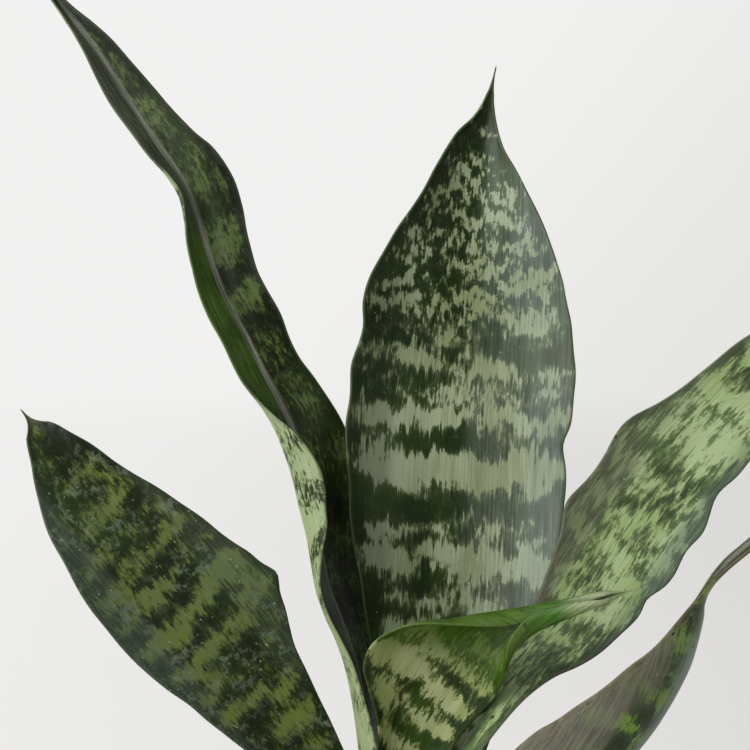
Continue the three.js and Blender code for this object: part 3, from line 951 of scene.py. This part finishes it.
def lathe(name, profile, segments, shape):
    """A closed solid of revolution. The profile starts and ends on the axis; shape moves each point."""
    shaped = bmesh.new()
    rings = []
    for r, z in profile:
        if r < 1e-6:
            rings.append([shaped.verts.new(Vector(shape(0.0, 0.0, z)) * MM)])
            continue
        turns = [2 * math.pi * i / segments for i in range(segments)]
        rings.append([shaped.verts.new(Vector(shape(r, turn, z)) * MM) for turn in turns])
    for low, high in zip(rings, rings[1:]):
        for i in range(segments):
            j = (i + 1) % segments
            corners = [low[i % len(low)], low[j % len(low)], high[j % len(high)], high[i % len(high)]]
            shaped.faces.new(list(dict.fromkeys(corners)))
    bmesh.ops.recalc_face_normals(shaped, faces=shaped.faces)
    for face in shaped.faces:
        face.smooth = True
    return finished(shaped, name)


def upright(r, turn, z):
    return (r * math.cos(turn), r * math.sin(turn), z)


# ---- pot ----
POT_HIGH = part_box("pot")[1] / MM
POT_HEIGHT = POT_HIGH.z
RIM_RADIUS = POT_HIGH.x
RIM_BAND = 27.0
RIM_STEP = 3.5
FOOT_RADIUS = 47.0
WALL = 6.0
POT_FLOOR = 9.0
DRAIN_HOLES = 3
DRAIN_RADIUS = 6.0
DRAIN_CIRCLE = 26.0
MOUTH_RADIUS = RIM_RADIUS - WALL - RIM_STEP
INNER_FOOT = FOOT_RADIUS - WALL
INNER_CORNER = INNER_FOOT + 1.5  # where the inside of the wall would meet the floor
BAND_RADIUS = RIM_RADIUS - 1.5  # the rim band at its lower edge
BAND_RISE = 0.3  # how much higher the band's edge is outside than at the wall
FOOT_ROUND, CREASE_ROUND, BAND_ROUND, LIP_ROUND, FLOOR_ROUND = 1.8, 0.7, 1.5, 2.6, 4.0
CUTTER_TAPER = 0.4


def pot_shape(r, turn, z):
    """Turning marks and a slight unevenness of the clay."""
    marks = 0.05 * math.sin(z * 2.1) * (0.5 + noise.noise(Vector((turn * 2, z / 18, 4.0))))
    uneven = 0.22 * noise.noise(Vector((math.cos(turn) * 1.6, math.sin(turn) * 1.6, z / 45)))
    return upright(r + (marks + uneven - 0.15) * min(r / 20, 1), turn, z)


def pot_mesh():
    wall_top = POT_HEIGHT - RIM_BAND
    profile = rounded(
        [
            (0, 0, 0),
            (FOOT_RADIUS - 0.5, 0, FOOT_ROUND),
            (RIM_RADIUS - RIM_STEP - 1, wall_top, CREASE_ROUND),
            (BAND_RADIUS, wall_top + BAND_RISE, BAND_ROUND),
            (RIM_RADIUS, POT_HEIGHT, LIP_ROUND),
            (MOUTH_RADIUS, POT_HEIGHT, LIP_ROUND),
            (INNER_CORNER, POT_FLOOR, FLOOR_ROUND),
            (0, POT_FLOOR, 0),
        ]
    )
    return lathe("pot_clay", divided(profile, 2.4), 128, pot_shape)


def drill(piece, cutters):
    """Cuts the cutters out of the piece and removes them."""
    for cutter in cutters:
        cut = piece.modifiers.new("drain", "BOOLEAN")
        cut.object = cutter
        cut.solver = "EXACT"
    graph = bpy.context.evaluated_depsgraph_get()
    mesh = bpy.data.meshes.new_from_object(piece.evaluated_get(graph))
    piece.modifiers.clear()
    old, piece.data = piece.data, mesh
    bpy.data.meshes.remove(old)
    for cutter in cutters:
        bpy.data.objects.remove(cutter)
    mesh.set_sharp_from_angle(angle=math.radians(50))


def drain_cutters():
    cutters = []
    for i in range(DRAIN_HOLES):
        turn = 2 * math.pi * i / DRAIN_HOLES + math.pi / 2
        shape = bmesh.new()
        bmesh.ops.create_cone(
            shape,
            cap_ends=True,
            segments=40,
            radius1=(DRAIN_RADIUS + CUTTER_TAPER) * MM,
            radius2=(DRAIN_RADIUS - CUTTER_TAPER) * MM,
            depth=4 * POT_FLOOR * MM,
        )
        bmesh.ops.translate(shape, verts=shape.verts, vec=Vector(upright(DRAIN_CIRCLE, turn, 0)) * MM)
        cutters.append(linked("drain", finished(shape, "drain")))
    return cutters


LIME_HEIGHT = 0.088  # metres, just under the rim band


def terracotta():
    """Fired clay: slightly uneven colour, sandy grain, pale mineral bloom, darker where it is damp."""
    g = Surface("terracotta")
    place = g.coordinates()
    x, y, z = g.split(place)
    cloud = g.noise(place, scale=18, detail=3.0, roughness=0.55)
    bands = g.noise(g.join(g.times(x, 6), g.times(y, 6), g.times(z, 150)), detail=3.0)
    sand = g.noise(place, scale=900, detail=3.0, roughness=0.7)
    clay = g.mix(g.step(cloud, 0.35, 0.65), srgb(176, 106, 72), srgb(192, 122, 86))
    clay = g.mix(g.step(bands, 0.4, 0.7, 0.0, 0.35), clay, srgb(160, 92, 62))
    clay = g.mix(g.step(sand, 0.58, 0.72, 0.0, 0.35), clay, srgb(214, 160, 124))
    clay = g.mix(g.step(sand, 0.42, 0.3, 0.0, 0.35), clay, srgb(128, 74, 52))
    # Lime from hard water shows most under the rim and round the foot.
    near_rim = g.step(g.math("ABSOLUTE", g.add(z, -LIME_HEIGHT)), 0.004, 0.03, 1.0, 0.0)
    near_foot = g.step(z, 0.0, 0.03, 1.0, 0.0)
    where = g.add(g.times(near_rim, 0.2), g.times(near_foot, 0.22))
    bloom = g.noise(place, scale=34, detail=5.0, roughness=0.62, distortion=0.6)
    bloom = g.step(g.add(bloom, where), 0.62, 0.86, 0.0, 0.6)
    clay = g.mix(g.times(bloom, g.step(sand, 0.3, 0.6, 0.6, 1.0)), clay, srgb(222, 204, 186))
    damp = g.step(g.add(z, g.times(cloud, 0.03)), 0.012, 0.05, 0.35, 0.0)
    clay = g.mix(damp, clay, srgb(122, 70, 48))
    height = g.add(g.times(sand, 0.6), g.times(bands, 0.35), g.times(bloom, 0.2))
    return g.finish(
        Base_Color=clay,
        Roughness=g.math("MULTIPLY_ADD", cloud, 0.2, 0.72),
        Specular_IOR_Level=0.3,
        Normal=g.bump(height, 0.35 * MM, 0.8),
    )


def make_pot():
    clay = terracotta()
    pot = add_piece("pot_clay", pot_mesh(), "pot", "terracotta", clay)
    drill(pot, drain_cutters())


# ---- soil ----
SOIL_EDGE = 103.0
SOIL_MOUND = 3.0
MOUND_RADIUS = 27.0
FLOOR_GAP = 0.3
WALL_GAP = 0.7


def inner_radius(z):
    """Inside radius of the pot's wall at a height."""
    share = (z - POT_FLOOR) / (POT_HEIGHT - POT_FLOOR)
    return INNER_CORNER + (MOUTH_RADIUS - INNER_CORNER) * share


SOIL_RADIUS = inner_radius(SOIL_EDGE) - WALL_GAP


def soil_height(x, y):
    """Height of the soil's lumpy top."""
    r = math.hypot(x, y)
    share = min(max((r - MOUND_RADIUS) / (SOIL_RADIUS - MOUND_RADIUS), 0), 1)
    lumps = noise.noise(Vector((x / 9, y / 9, 1.0))) * 1.3
    lumps += noise.noise(Vector((x / 3, y / 3, 5.0))) * 0.7
    return SOIL_EDGE + SOIL_MOUND * (1 - share) + lumps - 0.6


def soil_shape(r, turn, z):
    x, y, z = upright(r, turn, z)
    return (x, y, soil_height(x, y) if z > SOIL_EDGE - 1 else z)


def soil_mesh():
    low = POT_FLOOR + FLOOR_GAP
    corner = low + 5
    brim = SOIL_EDGE - 3
    side = [
        (0, low),
        (INNER_FOOT - 3, low),
        (inner_radius(corner) - 1, corner),
        (inner_radius(brim) - WALL_GAP, brim),
        (SOIL_RADIUS, SOIL_EDGE),
    ]
    side = [np.array(place, float) for place in side]
    top = [side[-1], np.array([0, SOIL_EDGE])]
    return lathe("soil_bed", divided(side, 4.0) + divided(top, 1.0)[1:], 180, soil_shape)


def lump(mesh, place, size, stretch, turn, seed, rough, fineness):
    """Adds one irregular grain to a bmesh."""
    made = bmesh.ops.create_icosphere(mesh, subdivisions=fineness, radius=1.0)["verts"]
    spin = turn.to_matrix()
    for vertex in made:
        p = vertex.co.copy()
        p *= 1 + rough * noise.noise(p * 1.7 + Vector((seed, 0, 0)))
        p = Vector((p.x * stretch[0], p.y * stretch[1], p.z * stretch[2])) * size
        vertex.co = (spin @ p + place) * MM


def scatter(name, count, sizes, stretches, rough, fineness, seed, leaves, sink):
    """A mesh of grains lying on the soil, clear of the leaves and the pot."""
    rng = random.Random(seed)
    made = bmesh.new()
    for i in range(count):
        largest = sizes[1] if i % 4 == 0 else sum(sizes) / 2
        size = rng.uniform(sizes[0], largest)
        stretch = [rng.uniform(low, high) for low, high in stretches]
        reach = size * max(stretch)
        r = (SOIL_RADIUS - reach - 0.5) * math.sqrt(rng.random())
        turn = rng.uniform(0, 2 * math.pi)
        x, y = r * math.cos(turn), r * math.sin(turn)
        place = Vector((x, y, soil_height(x, y) + size * stretch[2] * (1 - 2 * sink)))
        spin = Vector((rng.uniform(-0.35, 0.35), rng.uniform(-0.35, 0.35), 1)).to_track_quat("Z", "Y")
        spin = spin @ Vector((math.cos(turn * 7), math.sin(turn * 7), 0)).to_track_quat("X", "Z")
        near = min(tree.find_nearest(place * MM)[3] for tree in leaves)
        if near < (reach + 0.3) * MM:
            continue
        lump(made, place, size, stretch, spin, rng.uniform(0, 99), rough, fineness)
    for face in made.faces:
        face.smooth = True
    return finished(made, name)


def grain_surface(name, dark, light, scale, roughness):
    """Crumbs and chips: each patch has its own tone, with a fine gritty relief."""
    g = Surface(name)
    place = g.coordinates()
    tone = g.split(g.spots(place, 230)[1])[0]
    grit = g.noise(place, scale=scale, detail=4.0, roughness=0.7)
    skin = g.mix(g.add(g.times(tone, 0.6), g.times(grit, 0.4)), dark, light)
    return g.finish(
        Base_Color=skin,
        Roughness=roughness,
        Specular_IOR_Level=0.25,
        Normal=g.bump(grit, 0.5 * MM, 1.0),
    )


def make_soil(leaves):
    trees = []
    for leaf in leaves:
        faces = [list(polygon.vertices) for polygon in leaf.data.polygons]
        trees.append(BVHTree.FromPolygons([vertex.co for vertex in leaf.data.vertices], faces))
    peat = grain_surface("peat", srgb(30, 21, 15), srgb(66, 48, 35), 1400, 0.95)
    crumb = grain_surface("peat_crumbs", srgb(34, 24, 17), srgb(88, 66, 48), 2000, 0.95)
    bark = grain_surface("bark", srgb(66, 42, 26), srgb(142, 102, 66), 1600, 0.85)
    perlite = grain_surface("perlite", srgb(206, 202, 192), srgb(238, 236, 230), 2600, 0.9)
    even = ((0.8, 1.2), (0.7, 1.1), (0.6, 0.9))
    chips = ((1.5, 2.6), (0.7, 1.1), (0.25, 0.4))
    add_piece("soil_bed", soil_mesh(), "soil", "soil", peat)
    for skin, piece, count, sizes, stretches, rough, fineness, seed, sink in (
        (crumb, "soil_crumbs", 1500, (0.5, 2.2), even, 0.7, 1, 5, 0.3),
        (bark, "soil_bark", 90, (1.3, 3.2), chips, 0.5, 2, 6, 0.1),
        (perlite, "soil_perlite", 80, (0.7, 1.7), even, 0.6, 2, 7, 0.2),
    ):
        grains = scatter(piece, count, sizes, stretches, rough, fineness, seed, trees, sink)
        add_piece(piece, grains, "soil", "soil", skin)


# ---- stage ----
LIGHTS = (  # (name, place, size, power), in metres and watts
    ("key", (-1.9, -1.6, 1.5), 2.6, 92),
    ("rear", (-1.3, 1.9, 1.9), 1.8, 34),
    ("fill", (1.8, -1.9, 1.3), 1.5, 5),
)
FLOOR_RADIUS = 3.0
FLOOR_COLOUR = [0.74, 0.735, 0.725, 1.0]
DOME_RADIUS = 6.0
SKY_COLOUR = [1.0, 0.99, 0.975, 1.0]


def make_light(name, place, size, power):
    """A square softbox at place, aimed at the plant."""
    lamp = linked(name, bpy.data.lights.new(name, "AREA"))
    lamp.data.shape = "SQUARE"
    lamp.data.size = size
    lamp.data.energy = power
    lamp.location = place
    lamp.rotation_mode = "QUATERNION"
    lamp.rotation_quaternion = (VIEW_CENTRE - Vector(place)).to_track_quat("-Z", "Y")


def make_world():
    """Soft light from all round, brightest from behind and from the left."""
    world = bpy.data.worlds.new("studio")
    bpy.context.scene.world = world
    world.use_nodes = True
    g = Graph(world.node_tree)
    background = world.node_tree.nodes["Background"]
    x, y, z = g.split(g.coordinates("Generated"))
    level = g.add(0.34, g.times(y, 0.3), g.times(x, -0.3), g.times(z, 0.12))
    g.feed(background.inputs["Color"], SKY_COLOUR)
    g.feed(background.inputs["Strength"], g.math("MAXIMUM", level, 0.06))


def make_floor():
    """A pale disc that fades out towards its edge."""
    shape = bmesh.new()
    bmesh.ops.create_circle(shape, cap_ends=True, segments=96, radius=FLOOR_RADIUS)
    floor = linked("floor", finished(shape, "floor"))
    g = Surface("floor_paint")
    x, y = g.split(g.coordinates())[:2]
    radius = g.math("SQRT", g.add(g.times(x, x), g.times(y, y)))
    paint = g.finish(
        Base_Color=FLOOR_COLOUR,
        Roughness=0.8,
        Specular_IOR_Level=0.1,
        Alpha=g.step(radius, FLOOR_RADIUS * 0.2, FLOOR_RADIUS, 1.0, 0.0),
    )
    floor.data.materials.append(paint)


def make_dome():
    """The pale backdrop. It is seen but gives no light."""
    shape = bmesh.new()
    bmesh.ops.create_icosphere(shape, subdivisions=4, radius=DOME_RADIUS)
    dome = linked("dome", finished(shape, "dome"))
    for ray in ("diffuse", "glossy", "transmission", "volume_scatter", "shadow"):
        setattr(dome, "visible_" + ray, False)
    g = Surface("dome_paint")
    x, y, z = g.split(g.coordinates())
    # Painted shade: the backdrop's glow is a little darker to the right and low down.
    right = g.step(g.add(x, g.times(z, -0.8)), -0.6, 1.6)
    paint = g.finish(
        Base_Color=[0, 0, 0, 1],
        Specular_IOR_Level=0.0,
        Roughness=1.0,
        Emission_Color=g.mix(right, srgb(241, 241, 240), srgb(230, 229, 226)),
        Emission_Strength=1.0,
    )
    dome.data.materials.append(paint)


make_camera()
make_world()
make_floor()
make_dome()
for light in LIGHTS:
    make_light(*light)
bpy.context.scene.view_settings.view_transform = "Standard"
leaves = make_leaves() + make_scale_leaves()
make_pot()
make_soil(leaves)
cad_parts["rhizome"].data.materials[0] = rhizome_surface()
